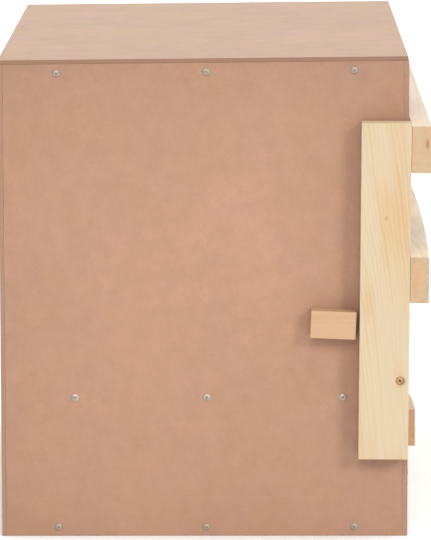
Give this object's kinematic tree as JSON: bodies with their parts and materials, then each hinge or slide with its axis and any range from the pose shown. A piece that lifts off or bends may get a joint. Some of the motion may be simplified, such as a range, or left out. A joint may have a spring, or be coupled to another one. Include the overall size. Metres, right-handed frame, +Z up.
{
  "type": "chicken nesting box",
  "caption": "Wooden laying nest for hens with arched entrances, a fold-down perch frame that closes them, and a pull-out drawer under the raised nest floor.",
  "frame": {"origin": "middle of the base, on the surface that the box stands on", "axes": "+Z up, -Y to the front with the entrances, +X along the width"},
  "size_m": [0.63, 0.4022, 0.45],
  "materials": {
    "brown_board": "smooth brown fibreboard with fine mottling and faint vertical streaks",
    "brown_board_top": "the same fibreboard, with a slight sheen where the light falls on it",
    "pine": "planed, unvarnished pine with clear growth lines and small knots",
    "pine_strip": "sawn pine strip, a little darker",
    "zinc_screw": "zinc-plated steel, dull",
    "yellow_screw": "yellow-passivated steel, dull, down in its hole"
  },
  "bodies": {
    "box": {"back_panel": "brown_board", "bottom_cleat_left": "pine_strip", "bottom_cleat_right": "pine_strip", "bottom_panel": "brown_board", "bottom_rail": "pine_strip", "centre_divider": "brown_board", "drawer_guide_left": "pine_strip", "drawer_guide_right": "pine_strip", "floor_cleat_left": "pine_strip", "floor_cleat_right": "pine_strip", "floor_rail": "pine_strip", "front_panel": "brown_board", "front_post_left": "pine_strip", "front_post_right": "pine_strip", "nest_floor": "brown_board", "pivot_screw_left": "yellow_screw", "pivot_screw_right": "yellow_screw", "pivot_washer_left": "zinc_screw", "pivot_washer_right": "zinc_screw", "side_panel_left": "brown_board", "side_panel_right": "brown_board", "side_screw_left_1": "zinc_screw", "side_screw_left_2": "zinc_screw", "side_screw_left_3": "zinc_screw", "side_screw_left_4": "zinc_screw", "side_screw_left_5": "zinc_screw", "side_screw_left_6": "zinc_screw", "side_screw_left_7": "zinc_screw", "side_screw_left_8": "zinc_screw", "side_screw_left_9": "zinc_screw", "side_screw_right_1": "zinc_screw", "side_screw_right_2": "zinc_screw", "side_screw_right_3": "zinc_screw", "side_screw_right_4": "zinc_screw", "side_screw_right_5": "zinc_screw", "side_screw_right_6": "zinc_screw", "side_screw_right_7": "zinc_screw", "side_screw_right_8": "zinc_screw", "side_screw_right_9": "zinc_screw", "stop_block_left": "pine", "stop_block_right": "pine", "top_cleat_left": "pine_strip", "top_cleat_right": "pine_strip", "top_panel": "brown_board_top"},
    "perch_frame": {"perch_arm_left": "pine", "perch_arm_right": "pine", "perch_slat_lower": "pine", "perch_slat_upper": "pine", "slat_screw_lower_left": "zinc_screw", "slat_screw_lower_right": "zinc_screw", "slat_screw_upper_left": "zinc_screw", "slat_screw_upper_right": "zinc_screw"},
    "drawer": {"drawer_back": "pine_strip", "drawer_bottom": "brown_board", "drawer_front": "brown_board", "drawer_handle": "pine_strip", "drawer_side_left": "pine_strip", "drawer_side_right": "pine_strip", "handle_screw_left": "zinc_screw", "handle_screw_right": "zinc_screw"}
  },
  "joints": [
    {"name": "perch_fold", "type": "hinge", "parent": "box", "child": "perch_frame", "pos_m": [0, -0.1699, 0.15], "axis": [1, 0, 0], "range_deg": [0, 89.5]},
    {"name": "drawer_slide", "type": "slide", "parent": "box", "child": "drawer", "axis": [0, -1, 0], "range_m": [0, 0.28]}
  ]
}
